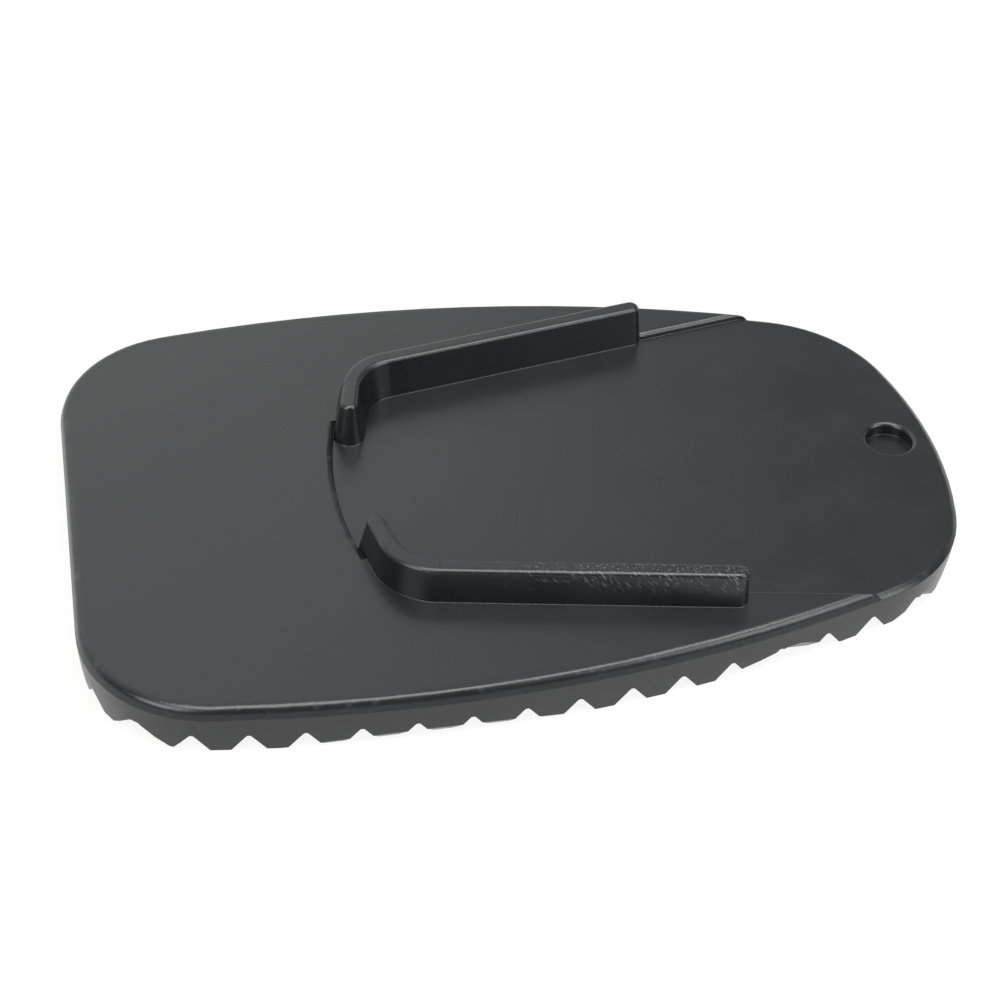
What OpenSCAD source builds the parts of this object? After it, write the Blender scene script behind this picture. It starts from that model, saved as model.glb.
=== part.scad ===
// Kickstand foot enlarger, a moulded plate that keeps a side stand from sinking into soft ground.
// The origin is under the middle of the plate, on the ground that the tread stands on.
// +X points to the narrow nose, +Y to one side and +Z up. Both sides are alike.

/* [Plate] */
// Length of the plate from the wide end to the tip of the nose
plate_l = 136; // [124:1:156]
// Greatest width of the plate
plate_w = 91; // [84:1:104]
// Thickness from the ground to the main top face
plate_t = 8.1; // [7:0.1:12]
// Place of the greatest width along X
widest_x = -20; // [-30:1:-8]
// Radius of the two corners of the wide end
corner_r = 19.8; // [14:0.2:26]
// Radius of the bowed long sides
side_r = 224; // [180:1:320]
// Radius of the two shoulders of the nose
shoulder_r = 22.5; // [16:0.5:30]
// Radius of the blunt tip of the nose
nose_r = 69; // [50:1:85]

/* [Rim] */
// Radius of the rounded top edge
rim_r = 1.4; // [0.8:0.1:1.6]
// Inward lean of the wall between the parting line and the rounded edge
rim_draft = 0.25; // [0.1:0.05:0.5]
// Drop from the main top face to the parting line, where the wall stands out furthest
parting_drop = 1.8; // [1.7:0.1:3]
// Inward lean of the lower wall between the parting line and the tread
wall_draft = 0.2; // [0.1:0.05:0.5]
// Radius of the rounded top edge of the lower nose
nose_rim_r = 1.2; // [0.8:0.1:1.4]

/* [Tread] */
// Distance from one row of teeth to the next, both ways
tread_pitch = 7.74; // [6.5:0.01:10]
// Depth of the grooves between the teeth
tread_h = 3; // [2:0.1:3.6]
// Width of a groove at the ground
groove_w = 4.9; // [3.6:0.1:5.4]
// Radius of the rounded root of a groove
groove_root_r = 0.5; // [0.3:0.05:0.8]
// Shift of the crosswise grooves from the middle of the plate
tread_shift = 0.6; // [-3:0.1:3]
// Inward lean of the outer faces of the teeth
tooth_draft = 0.3; // [0.1:0.05:0.6]

/* [Pocket] */
// Depth of the pocket and of the nose below the main top face
pocket_d = 1.15; // [0.6:0.05:1.6]
// Distance from the wide end to the middle of the pocket's bowed edge
apron_l = 40.3; // [34:0.1:48]
// Radius of the pocket's bowed edge
pocket_bow_r = 62; // [45:1:120]
// Radius of the rounded edge of the pocket
pocket_edge_r = 1; // [0.4:0.1:1.1]
// Distance from a guide rib's centre line to the pocket's side edge
pocket_side = 1.7; // [1:0.1:2]

/* [Guide ribs] */
// Height of the ribs above the main top face
rib_h = 5.3; // [3:0.1:9]
// Width of a rib where it rises from the main top face
rib_base_w = 4.7; // [4.2:0.1:6]
// Width across the top of a rib, before its edges are rounded
rib_top_w = 2.7; // [2.2:0.1:3.4]
// Radius of the rounded top edges of a rib
rib_edge_r = 0.8; // [0.4:0.1:0.9]
// Distance between the middles of the two inner tips
tip_gap = 26.8; // [22:0.1:32]
// Length of the straight lead between the tip and the bend
lead_l = 5.2; // [3:0.1:9]
// Direction of the lead, measured from +X
lead_angle = 78; // [65:1:88]
// Radius of the bend along the centre line
bend_r = 8.2; // [6:0.1:12]
// Direction of the long leg, measured from +X
leg_angle = 10.5; // [4:0.5:16]
// Length of the long leg from the bend to its square end
leg_l = 44.7; // [30:0.1:50]
// Radius of the upright corners at the square end
end_corner_r = 1.8; // [1:0.1:2]
// How far the top of the tip leans back from its foot
tip_lean = 0.6; // [0:0.1:1.2]
// Gap between the foot of the tip and the pocket's bowed edge
tip_set = 0.1; // [0:0.05:0.6]
// How far the pocket's bowed edge runs on past the middle of the tip
bow_reach = 2.6; // [1.5:0.1:3.5]

/* [Cord hole] */
// Radius of the blind hole in the nose
hole_r = 3.6; // [2:0.1:5]
// Depth of the hole below the nose's face
hole_d = 2; // [1.4:0.1:2.4]
// Radius of the rounded rim of the hole
hole_rim_r = 0.8; // [0.3:0.1:1]
// Distance from the tip of the nose to the middle of the hole
hole_from_tip = 7; // [6:0.5:14]

/* [Hidden] */
$fa = 4;
$fs = 0.5;
// Reach of a cut beyond the face that it opens
over = 2;
// Width of the swept rim section, inside which the plate is simply filled
ring = 4;
// Gap in degrees between one swept arc of the outline and the next, bridged by the fill
seam = 1;
// Height of the arc above its chord where a curve is drawn with straight facets
sagitta = 0.03;
// How far the straight runs of a rib, which end inside its bend, lie under the bend's surface
shy = 0.05;
// Length by which a straight run enters the bend
lap = 0.4;
floor_z = plate_t - pocket_d;
parting_z = plate_t - parting_drop;

// The outline is a straight wide end and a chain of tangent arcs to the tip of the nose.
// Crossing of two circles, on the right of the way from the first centre to the second
function crossing(a, ra, b, rb) =
    let (d = norm(b - a), u = (b - a) / d, t = (ra * ra - rb * rb + d * d) / (2 * d))
    a + u * t + [u.y, -u.x] * sqrt(ra * ra - t * t);
function heading(a, b) = atan2(b.y - a.y, b.x - a.x);
function polar(c, r, a) = c + r * [cos(a), sin(a)];

side_c = [widest_x, plate_w / 2 - side_r];
corner_x = -plate_l / 2 + corner_r;
corner_c = [corner_x, side_c.y + sqrt(pow(side_r - corner_r, 2) - pow(corner_x - side_c.x, 2))];
nose_c = [plate_l / 2 - nose_r, 0];
shoulder_c = crossing(side_c, side_r - shoulder_r, nose_c, nose_r - shoulder_r);
corner_end = heading(side_c, corner_c);
side_end = heading(side_c, shoulder_c);
shoulder_end = heading(nose_c, shoulder_c);

// Each arc is its centre, its radius and the directions where it starts and ends
corner_arc = [corner_c, corner_r, corner_end + seam, 180];
side_arc = [side_c, side_r, side_end + seam / 2, corner_end - seam / 2];
shoulder_arc = [shoulder_c, shoulder_r, shoulder_end + seam, side_end - seam];
nose_arc = [nose_c, nose_r, 0, shoulder_end - seam];

function mirrored(points) = [for (i = [len(points) - 1:-1:0]) [points[i].x, -points[i].y]];

module both_sides() {
    children();
    mirror([0, 1, 0])
        children();
}

// Sweeps a flat section along one arc of the outline, with x = 0 on the outline itself
module along(arc) {
    translate([arc[0].x, arc[0].y, 0])
        rotate([0, 0, arc[2]])
            rotate_extrude(angle = arc[3] - arc[2], $fn = ceil(180 / acos(1 - sagitta / arc[1])))
                translate([arc[1], 0])
                    children();
}

// Sweeps a section along the whole outline and fills the inside
module all_round() {
    hull()
        both_sides()
            for (arc = [corner_arc, side_arc, shoulder_arc, nose_arc])
                along(arc)
                    children();
}

// Points of a rounded top edge, from the wall up to the flat
function round_edge(inset, top, r) =
    [for (a = [0:15:90]) [-inset - r * (1 - cos(a)), top - r + r * sin(a)]];

// Plate section at the rim: teeth, lower wall, parting line and rounded edge
module plate() {
    all_round()
        polygon(concat(
            [[-ring, 0], [-wall_draft - tooth_draft, 0], [-wall_draft, tread_h], [0, parting_z]],
            round_edge(rim_draft, plate_t, rim_r),
            [[-ring, plate_t]]
        ));
}

// The same plate with its top at the level of the nose
module low_plate() {
    all_round()
        polygon(concat(
            [[-ring, 0], [-wall_draft - tooth_draft, 0], [0, parting_z]],
            [for (p = round_edge(0, floor_z, nose_rim_r)) if (p.y > parting_z + 0.05) p],
            [[-ring, floor_z]]
        ));
}

// The guide rib's centre line runs from its tip over a lead and a bend into a long leg
pocket_x = -plate_l / 2 + apron_l;
tip_y = tip_gap / 2;
bow_at_tip = pocket_bow_r - sqrt(pow(pocket_bow_r, 2) - pow(tip_y, 2));
tip = [pocket_x + bow_at_tip + tip_set + rib_base_w / 2, tip_y];
bend_start = polar(tip, lead_l, lead_angle);
bend_c = polar(bend_start, bend_r, lead_angle - 90);
bend_end = polar(bend_c, bend_r, leg_angle + 90);
leg_end = polar(bend_end, leg_l, leg_angle);

// Lean of the rib's sides away from upright
rib_draft = atan2(rib_base_w - rib_top_w, 2 * rib_h);
rib_top_z = plate_t + rib_h;
// A rib's foot lies a little below the floor of the pocket
rib_foot_z = floor_z - 0.5;
rib_foot_w = rib_top_w + 2 * (rib_top_z - rib_foot_z) * tan(rib_draft);
rib_edge_x = rib_top_w / 2 + rib_edge_r * (tan(rib_draft) - 1 / cos(rib_draft));
rib_edge_z = rib_top_z - rib_edge_r;

// Section across a rib, with its drafted sides and rounded top edges
module rib_section() {
    touch = [rib_edge_x + rib_edge_r * cos(rib_draft), rib_edge_z + rib_edge_r * sin(rib_draft)];
    union() {
        polygon([
            [-rib_foot_w / 2, rib_foot_z],
            [rib_foot_w / 2, rib_foot_z],
            touch,
            [rib_edge_x, rib_top_z],
            [-rib_edge_x, rib_top_z],
            [-touch.x, touch.y]
        ]);
        for (s = [-1, 1])
            translate([s * rib_edge_x, rib_edge_z])
                circle(rib_edge_r);
    }
}

// Rounded top of a rib's end, and a disc at its foot
module rib_crown() {
    r = rib_edge_r - shy;
    rotate_extrude($fn = 32)
        polygon(concat(
            [[0, rib_edge_z]],
            [for (a = [0:15:90]) [rib_edge_x + r * cos(a), rib_edge_z + r * sin(a)]],
            [[0, rib_edge_z + r]]
        ));
}

module rib_foot(r) {
    translate([0, 0, rib_foot_z])
        cylinder(r = r, h = 0.01, $fn = 32);
}

module at(point, angle) {
    translate([point.x, point.y, 0])
        rotate([0, 0, angle])
            children();
}

module guide_rib() {
    at(bend_c, leg_angle + 90)
        rotate_extrude(angle = lead_angle - leg_angle)
            translate([bend_r, 0])
                rib_section();
    // lead, from the bend to a rounded tip whose top leans back from its foot
    hull() {
        at(polar(bend_start, lap, lead_angle), lead_angle) {
            rib_foot(rib_foot_w / 2 - shy);
            rib_crown();
        }
        at(tip, lead_angle) {
            rib_foot(rib_foot_w / 2 - shy);
            translate([tip_lean, 0, 0])
                rib_crown();
        }
    }
    // long leg, from the bend to a square end with two rounded upright corners
    hull() {
        at(polar(bend_end, -lap, leg_angle), leg_angle) {
            rib_foot(rib_foot_w / 2 - shy);
            rib_crown();
        }
        at(leg_end, leg_angle) {
            for (s = [-1, 1])
                translate([-end_corner_r, s * (rib_foot_w / 2 - shy - end_corner_r), 0])
                    rib_foot(end_corner_r);
            translate([-rib_top_w / 2 - 0.4, 0, 0])
                rib_crown();
        }
    }
}

// Plan of the pocket: a bowed back between the tips, then along the ribs and out over the nose
side_r_in = bend_r - pocket_side;
in_start = polar(bend_c, side_r_in, lead_angle + 90);
in_end = polar(bend_c, side_r_in, leg_angle + 90);
tip_in = polar(tip, pocket_side, lead_angle - 90);
side_run = (plate_l / 2 + over - in_end.x) / cos(leg_angle);
side_out = polar(in_end, side_run, leg_angle);
side_start = polar(in_end, 1, leg_angle);
bow_y = tip_y + bow_reach;
bow_turn = asin((bow_y + 0.3) / pocket_bow_r);

module pocket_plan() {
    half = [[tip_in.x, tip_y], in_start, in_end, side_out];
    intersection() {
        translate([pocket_x + pocket_bow_r, 0])
            circle(pocket_bow_r, $fa = 1);
        translate([pocket_x - 1, -bow_y])
            square([tip_in.x + 2 - pocket_x, 2 * bow_y]);
    }
    polygon(concat(half, mirrored(half)));
    for (s = [-1, 1])
        translate([bend_c.x, s * bend_c.y])
            circle(side_r_in);
}

// Section of the cut that rounds a top edge: x = 0 on the wall, the solid lies at x > 0
module edge_cut(r) {
    difference() {
        translate([-0.3, -r])
            square([r + 0.3, r + over]);
        translate([r, -r])
            circle(r);
    }
}

module pocket() {
    difference() {
        translate([0, 0, parting_z + 0.02])
            linear_extrude(plate_t)
                pocket_plan();
        low_plate();
    }
    // rounded edge of the bowed back
    translate([pocket_x + pocket_bow_r, 0, plate_t])
        rotate([0, 0, 180 - bow_turn])
            rotate_extrude(angle = 2 * bow_turn, $fa = 1)
                translate([pocket_bow_r, 0])
                    edge_cut(pocket_edge_r);
    // rounded side edges from under the ribs out over the rim
    both_sides()
        translate([side_start.x, side_start.y, plate_t])
            rotate([90, 0, leg_angle + 90])
                linear_extrude(side_run)
                    edge_cut(pocket_edge_r);
}

// V-shaped groove with a narrow flat at its root
module tread_groove(length) {
    root_z = tread_h - groove_root_r;
    lean = atan2(groove_w / 2, root_z) - asin(groove_root_r / norm([groove_w / 2, root_z]));
    touch = [groove_root_r * cos(lean), root_z + groove_root_r * sin(lean)];
    flat_x = groove_root_r * tan(22.5);
    low_x = groove_w / 2 + over * tan(lean);
    rotate([90, 0, 0])
        linear_extrude(length, center = true)
            polygon([
                [-low_x, -over],
                [low_x, -over],
                touch,
                [flat_x, tread_h],
                [-flat_x, tread_h],
                [-touch.x, touch.y]
            ]);
}

module tread() {
    rows = ceil(plate_w / 2 / tread_pitch);
    cols = ceil(plate_l / 2 / tread_pitch) + 1;
    for (i = [-cols:cols])
        translate([tread_shift + i * tread_pitch, 0, 0])
            tread_groove(plate_w + 2 * over);
    for (j = [-rows:rows])
        translate([0, j * tread_pitch, 0])
            rotate([0, 0, 90])
                tread_groove(plate_l + 2 * over);
}

// Blind hole with a rounded rim
module cord_hole() {
    translate([plate_l / 2 - hole_from_tip, 0, floor_z]) {
        translate([0, 0, -hole_d])
            cylinder(r = hole_r, h = hole_d + over);
        rotate_extrude()
            translate([hole_r, 0])
                edge_cut(hole_rim_r);
    }
}

module stand_pad() {
    color("#26282a")
        union() {
            difference() {
                plate();
                pocket();
                cord_hole();
                tread();
            }
            both_sides()
                guide_rib();
        }
}

stand_pad();
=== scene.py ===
import bpy, bmesh, math
from mathutils import Matrix, Vector


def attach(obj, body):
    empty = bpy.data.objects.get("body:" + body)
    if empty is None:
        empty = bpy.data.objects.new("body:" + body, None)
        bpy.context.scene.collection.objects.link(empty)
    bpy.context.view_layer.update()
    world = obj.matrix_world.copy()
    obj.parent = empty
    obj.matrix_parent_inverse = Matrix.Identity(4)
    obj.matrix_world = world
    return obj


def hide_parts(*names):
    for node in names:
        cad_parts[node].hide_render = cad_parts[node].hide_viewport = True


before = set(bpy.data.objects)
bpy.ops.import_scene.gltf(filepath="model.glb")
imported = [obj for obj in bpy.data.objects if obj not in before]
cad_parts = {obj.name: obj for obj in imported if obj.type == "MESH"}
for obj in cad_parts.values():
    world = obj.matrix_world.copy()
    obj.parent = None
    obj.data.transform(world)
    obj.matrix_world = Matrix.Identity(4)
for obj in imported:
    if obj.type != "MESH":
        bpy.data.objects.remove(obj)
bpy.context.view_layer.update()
mm = 0.001


def linear(hexColour):
    # sRGB hex to the linear values that the shader's sockets take
    channels = [int(hexColour[i:i + 2], 16) / 255 for i in (1, 3, 5)]
    return [c / 12.92 if c <= 0.04045 else ((c + 0.055) / 1.055) ** 2.4 for c in channels] + [1]


def addNode(tree, kind, inputs=None, links=None, **settings):
    # sockets go by name, or by number where names repeat: on a Mix node 0 is the factor, 2 and 3
    # are the numbers that it mixes, and 6 and 7 the colours
    node = tree.nodes.new(kind)
    for name, value in settings.items():
        setattr(node, name, value)
    for name, value in (inputs or {}).items():
        node.inputs[name].default_value = value
    for name, source in (links or {}).items():
        tree.links.new(source, node.inputs[name])
    return node


def newMaterial(name):
    material = bpy.data.materials.new(name)
    material.use_nodes = True
    material.node_tree.nodes.clear()
    return material, material.node_tree


# Camera, fitted to the outline, the tread and the rim in the photograph
camera = {
    "azimuth": -13.138,        # degrees round from -Y, negative towards the wide end
    "elevation": 40.825,
    "roll": 2.835,
    "distance": 332.695 * mm,
    "aim": (-1.463 * mm, 2.648 * mm, 0),
    "focal": 2115.3,           # in pixels of a frame this wide
    "frameWidth": 1000,
    "sensorWidth": 36,         # in millimetres, as Blender's camera takes it
    "clip": (0.01, 50),
}


def makeCamera():
    az, el, roll = (math.radians(camera[k]) for k in ("azimuth", "elevation", "roll"))
    back = Vector((math.sin(az) * math.cos(el), -math.cos(az) * math.cos(el), math.sin(el)))
    right = (-back).cross(Vector((0, 0, 1))).normalized()
    up = right.cross(-back)
    x = right * math.cos(roll) + up * math.sin(roll)
    y = up * math.cos(roll) - right * math.sin(roll)
    data = bpy.data.cameras.new("camera")
    data.sensor_width = camera["sensorWidth"]
    data.lens = camera["focal"] / camera["frameWidth"] * camera["sensorWidth"]
    data.clip_start, data.clip_end = camera["clip"]
    obj = bpy.data.objects.new("camera", data)
    place = Matrix.Translation(back * camera["distance"] + Vector(camera["aim"]))
    obj.matrix_world = place @ Matrix((x, y, back)).transposed().to_4x4()
    bpy.context.scene.collection.objects.link(obj)
    bpy.context.scene.camera = obj


makeCamera()
print("camera done")

# The moulding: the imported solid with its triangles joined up, smooth over its curves and crisp
# at its edges
moulding = {
    "joinDistance": 0.001 * mm,
    "flatAngle": 0.6,          # degrees between faces that count as one flat face
    "sharpAngle": 20,          # degrees from which an edge is crisp, such as the parting line
    "flatWeight": 100,         # how strongly the large faces set the shading of small ones
}


def makeMoulding():
    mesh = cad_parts["stand_pad"].data.copy()
    mesh.name = "moulding"
    bm = bmesh.new()
    bm.from_mesh(mesh)
    bmesh.ops.remove_doubles(bm, verts=bm.verts, dist=moulding["joinDistance"])
    bmesh.ops.dissolve_limit(bm, angle_limit=math.radians(moulding["flatAngle"]),
                             verts=bm.verts, edges=bm.edges, delimit=set())
    for face in bm.faces:
        face.smooth = True
    for edge in bm.edges:
        edge.smooth = edge.calc_face_angle(0) < math.radians(moulding["sharpAngle"])
    bm.to_mesh(mesh)
    bm.free()
    piece = bpy.data.objects.new("moulding", mesh)
    bpy.context.scene.collection.objects.link(piece)
    weighted = piece.modifiers.new("flat faces stay flat", "WEIGHTED_NORMAL")
    weighted.mode = "FACE_AREA"
    weighted.weight = moulding["flatWeight"]
    weighted.keep_sharp = True
    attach(piece, "root")
    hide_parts("stand_pad")
    print("moulding:", len(mesh.polygons), "faces")
    return piece


# Each range is in the words of the Map Range node that reads it
blackNylon = {
    "colour": "#151618",
    "flowColour": "#1b1c1e",   # the slightly greyer places where the melt flowed slowly
    "flowSize": 11 * mm,
    "roughness": {"From Min": 0.3, "From Max": 0.7, "To Min": 0.25, "To Max": 0.32},
    "ior": 1.53,
    "grain": 0.5 * mm,         # pits of the eroded mould, drawn coarser than the real 0.1 mm to show
    "grainDepth": 0.02 * mm,
    "edgeRadius": 0.22 * mm,   # the mould's own small radius along creases and edges
    "edgeSamples": 6,
    # whitened nylon where it was rubbed or scratched
    "rubColour": "#707276",
    "rubRoughness": 0.4,
    "rubDepth": 0.01 * mm,
    "rubSize": 2.2 * mm,       # patches along the edges
    "rubPatches": {"From Min": 0.55, "From Max": 0.75, "To Max": 0.25},
    # how far the surface faces up, where a rounded edge leaves the flat and where it meets the wall
    "offFlat": {"From Min": 0.985, "From Max": 0.93},
    "offWall": {"From Min": 0.3, "From Max": 0.6},
    # hair scratches, drawn a little wider than real so that they show
    "hairWidth": 0.26 * mm,
    "hairLength": 3.5 * mm,
    "hairSlant": (-27, -42, 0),  # degrees
    "hairLines": {"From Min": 0.61, "From Max": 0.69},
    # they come in with height above the ground, towards the near rib and along its long leg
    "hairHeight": {"From Min": 10 * mm, "From Max": 13 * mm, "To Max": 0.6},
    "hairSide": {"From Min": 0, "From Max": -10 * mm},
    "hairLeg": {"From Min": -12 * mm, "From Max": 4 * mm},
}


def makeBlackNylon():
    # Glass-filled nylon from an eroded mould: near black with a soft satin sheen, a fine even
    # grain, faint flow marks, and paler rubbed edges with hair scratches across the near rib
    material, tree = newMaterial("black moulded nylon")
    place = addNode(tree, "ShaderNodeTexCoord")
    where, facing = place.outputs["Object"], place.outputs["Normal"]

    flow = addNode(tree, "ShaderNodeTexNoise",
                   {"Scale": 1 / blackNylon["flowSize"], "Detail": 2, "Roughness": 0.5},
                   {"Vector": where}).outputs["Fac"]
    cleanColour = addNode(tree, "ShaderNodeMix",
                          {6: linear(blackNylon["colour"]), 7: linear(blackNylon["flowColour"])},
                          {0: flow}, data_type="RGBA").outputs[2]
    cleanSheen = addNode(tree, "ShaderNodeMapRange", blackNylon["roughness"],
                         {"Value": flow}).outputs["Result"]

    # rounded edges lie between the level faces and the upright walls, and are rubbed in patches
    level = addNode(tree, "ShaderNodeSeparateXYZ", links={0: facing}).outputs["Z"]
    offFlat = addNode(tree, "ShaderNodeMapRange", blackNylon["offFlat"], {"Value": level})
    offWall = addNode(tree, "ShaderNodeMapRange", blackNylon["offWall"], {"Value": level})
    edges = addNode(tree, "ShaderNodeMath", links={0: offFlat.outputs[0], 1: offWall.outputs[0]},
                    operation="MULTIPLY")
    patches = addNode(tree, "ShaderNodeTexNoise",
                      {"Scale": 1 / blackNylon["rubSize"], "Detail": 4, "Roughness": 0.65},
                      {"Vector": where})
    patchy = addNode(tree, "ShaderNodeMapRange", blackNylon["rubPatches"],
                     {"Value": patches.outputs["Fac"]})
    rubbed = addNode(tree, "ShaderNodeMath", links={0: edges.outputs[0], 1: patchy.outputs[0]},
                     operation="MULTIPLY")

    # hair scratches run down across the near rib at a slant
    slant = addNode(tree, "ShaderNodeMapping", {
        "Rotation": [math.radians(a) for a in blackNylon["hairSlant"]],
        "Scale": (blackNylon["hairWidth"], blackNylon["hairWidth"], blackNylon["hairLength"])},
        {"Vector": where}, vector_type="TEXTURE")
    hairs = addNode(tree, "ShaderNodeTexNoise", {"Scale": 1, "Detail": 1, "Roughness": 0.4},
                    {"Vector": slant.outputs[0]})
    lines = addNode(tree, "ShaderNodeMapRange", blackNylon["hairLines"],
                    {"Value": hairs.outputs["Fac"]})
    axes = addNode(tree, "ShaderNodeSeparateXYZ", links={0: where}).outputs
    high = addNode(tree, "ShaderNodeMapRange", blackNylon["hairHeight"], {"Value": axes["Z"]})
    nearRib = addNode(tree, "ShaderNodeMapRange", blackNylon["hairSide"], {"Value": axes["Y"]})
    longLeg = addNode(tree, "ShaderNodeMapRange", blackNylon["hairLeg"], {"Value": axes["X"]})
    onRib = addNode(tree, "ShaderNodeMath", links={0: nearRib.outputs[0], 1: longLeg.outputs[0]},
                    operation="MULTIPLY")
    kept = addNode(tree, "ShaderNodeMath", links={0: onRib.outputs[0], 1: high.outputs[0]},
                   operation="MULTIPLY")
    scratched = addNode(tree, "ShaderNodeMath", links={0: lines.outputs[0], 1: kept.outputs[0]},
                        operation="MULTIPLY")
    worn = addNode(tree, "ShaderNodeMath", links={0: rubbed.outputs[0], 1: scratched.outputs[0]},
                   operation="MAXIMUM").outputs[0]
    colour = addNode(tree, "ShaderNodeMix", {7: linear(blackNylon["rubColour"])},
                     {0: worn, 6: cleanColour}, data_type="RGBA").outputs[2]
    sheen = addNode(tree, "ShaderNodeMix", {3: blackNylon["rubRoughness"]},
                    {0: worn, 2: cleanSheen}).outputs[0]

    # the soft radius of creases and edges, then the grain, then the scratches
    soft = addNode(tree, "ShaderNodeBevel", {"Radius": blackNylon["edgeRadius"]},
                   samples=blackNylon["edgeSamples"]).outputs[0]
    pits = addNode(tree, "ShaderNodeTexNoise",
                   {"Scale": 1 / blackNylon["grain"], "Detail": 3, "Roughness": 0.6},
                   {"Vector": where})
    grained = addNode(tree, "ShaderNodeBump", {"Distance": blackNylon["grainDepth"]},
                      {"Height": pits.outputs["Fac"], "Normal": soft}).outputs[0]
    relief = addNode(tree, "ShaderNodeBump", {"Distance": blackNylon["rubDepth"]},
                     {"Height": worn, "Normal": grained}, invert=True).outputs[0]
    shader = addNode(tree, "ShaderNodeBsdfPrincipled", {"IOR": blackNylon["ior"]},
                     {"Base Color": colour, "Roughness": sheen, "Normal": relief})
    addNode(tree, "ShaderNodeOutputMaterial", links={"Surface": shader.outputs["BSDF"]})
    return material


padMoulding = makeMoulding()
padMoulding.data.materials.clear()
padMoulding.data.materials.append(makeBlackNylon())

# Studio: a white sweep and a wide softbox overhead, with the camera's side of the room left dark
studio = {
    "floorSize": 6,
    "floorGap": 0.05 * mm,     # how far the floor lies below the tread
    "floorColour": "#f4f3f0",
    "shadowShare": 0.1,        # how much of the floor's real shading shows through the white
    "shadowFade": (0.12, 0.4), # metres from the middle over which that share falls to nothing
    "worldLevel": 0.25,
    "darkSide": 0.1,           # share of the light that comes from the camera's side
    "rightSide": 0.35,         # share of the light that comes from far to the right
    # parts of a ray's direction over which the room fades: forward, to the right and upward
    "darkFade": (0.35, -0.1),
    "rightFade": (0, 0.42),
    "horizonFade": (0.4, 0.15),
    # softboxes: place, width and height, watts
    "overhead": ((0.06, -0.12, 0.8), (0.95, 0.4), 8.4),
    "right": ((0.62, -0.5, 0.54), (0.5, 0.6), 4.6),
    "left": ((-0.62, -0.52, 0.5), (0.5, 0.5), 4.2),
    "back": ((-0.3, 0.9, 0.75), (1.3, 0.7), 1.0),
}


def backdropShows(tree):
    # 1 for the rays that see the white background: from the camera, through something clear or in
    # gloss. The second result leaves gloss out
    path = addNode(tree, "ShaderNodeLightPath").outputs
    direct = addNode(tree, "ShaderNodeMath",
                     links={0: path["Is Camera Ray"], 1: path["Is Transmission Ray"]},
                     operation="MAXIMUM")
    shows = addNode(tree, "ShaderNodeMath", links={0: direct.outputs[0], 1: path["Is Glossy Ray"]},
                    operation="MAXIMUM")
    return shows.outputs[0], direct.outputs[0]


def makeFloor():
    bm = bmesh.new()
    bmesh.ops.create_grid(bm, x_segments=1, y_segments=1, size=studio["floorSize"] / 2)
    bmesh.ops.translate(bm, verts=bm.verts, vec=(0, 0, -studio["floorGap"]))
    mesh = bpy.data.meshes.new("floor")
    bm.to_mesh(mesh)
    bm.free()
    floor = bpy.data.objects.new("floor", mesh)
    bpy.context.scene.collection.objects.link(floor)
    material, tree = newMaterial("white paper sweep")
    paper = addNode(tree, "ShaderNodeBsdfDiffuse", {"Color": linear(studio["floorColour"])})
    white = addNode(tree, "ShaderNodeEmission", {"Color": (1, 1, 1, 1), "Strength": 1})
    shows = backdropShows(tree)[0]
    where = addNode(tree, "ShaderNodeTexCoord").outputs["Object"]
    away = addNode(tree, "ShaderNodeVectorMath", links={0: where}, operation="LENGTH")
    near, far = studio["shadowFade"]
    whiteness = addNode(tree, "ShaderNodeMapRange",
                        {"From Min": near, "From Max": far, "To Min": 1 - studio["shadowShare"]},
                        {"Value": away.outputs["Value"]}, interpolation_type="SMOOTHSTEP")
    share = addNode(tree, "ShaderNodeMath", links={0: shows, 1: whiteness.outputs[0]},
                    operation="MULTIPLY")
    mixed = addNode(tree, "ShaderNodeMixShader",
                    links={0: share.outputs[0], 1: paper.outputs[0], 2: white.outputs[0]})
    addNode(tree, "ShaderNodeOutputMaterial", links={"Surface": mixed.outputs[0]})
    mesh.materials.append(material)


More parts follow.
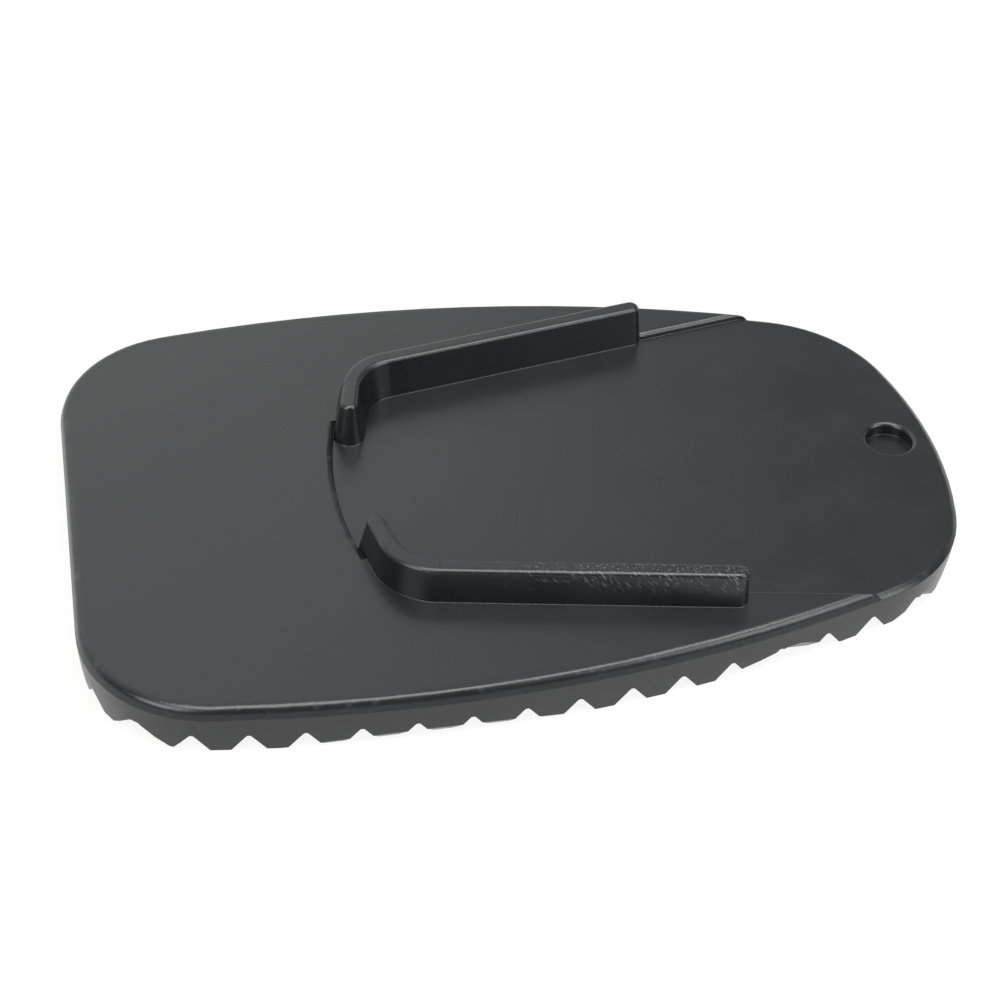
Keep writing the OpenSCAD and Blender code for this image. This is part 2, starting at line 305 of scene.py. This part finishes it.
def makeLight():
    world = bpy.data.worlds.new("studio")
    bpy.context.scene.world = world
    world.use_nodes = True
    tree = world.node_tree
    tree.nodes.clear()
    shows, direct = backdropShows(tree)
    level = addNode(tree, "ShaderNodeMix", {2: studio["worldLevel"], 3: 1.0}, {0: shows}).outputs[0]
    # the room fades towards the camera's side, and to the right above the white of the sweep
    direction = addNode(tree, "ShaderNodeTexCoord").outputs["Generated"]
    ray = addNode(tree, "ShaderNodeSeparateXYZ", links={0: direction}).outputs
    start, end = studio["darkFade"]
    front = addNode(tree, "ShaderNodeMapRange",
                    {"From Min": start, "From Max": end, "To Min": 1, "To Max": studio["darkSide"]},
                    {"Value": ray["Y"]}, interpolation_type="SMOOTHSTEP")
    start, end = studio["rightFade"]
    right = addNode(tree, "ShaderNodeMapRange",
                    {"From Min": start, "From Max": end, "To Min": 1, "To Max": studio["rightSide"]},
                    {"Value": ray["X"]}, interpolation_type="SMOOTHSTEP")
    start, end = studio["horizonFade"]
    low = addNode(tree, "ShaderNodeMapRange", {"From Min": start, "From Max": end},
                  {"Value": ray["Z"]})
    side = addNode(tree, "ShaderNodeMath", links={0: low.outputs[0], 1: right.outputs[0]},
                   operation="MAXIMUM")
    room = addNode(tree, "ShaderNodeMath", links={0: front.outputs[0], 1: side.outputs[0]},
                   operation="MULTIPLY")
    lit = addNode(tree, "ShaderNodeMath", links={0: level, 1: room.outputs[0]},
                  operation="MULTIPLY")
    strength = addNode(tree, "ShaderNodeMath", links={0: lit.outputs[0], 1: direct},
                       operation="MAXIMUM")
    sky = addNode(tree, "ShaderNodeBackground", {"Color": (1, 1, 1, 1)},
                  {"Strength": strength.outputs[0]})
    addNode(tree, "ShaderNodeOutputWorld", links={"Surface": sky.outputs[0]})
    for name in ("overhead", "right", "left", "back"):
        place, size, watts = studio[name]
        data = bpy.data.lights.new(name + " softbox", "AREA")
        data.shape = "RECTANGLE"
        data.size, data.size_y = size
        data.energy = watts
        box = bpy.data.objects.new(name + " softbox", data)
        box.location = place
        box.rotation_euler = (-box.location).to_track_quat("-Z", "Y").to_euler()
        bpy.context.scene.collection.objects.link(box)


makeFloor()
makeLight()
bpy.context.scene.view_settings.view_transform = "Standard"
print("studio done")
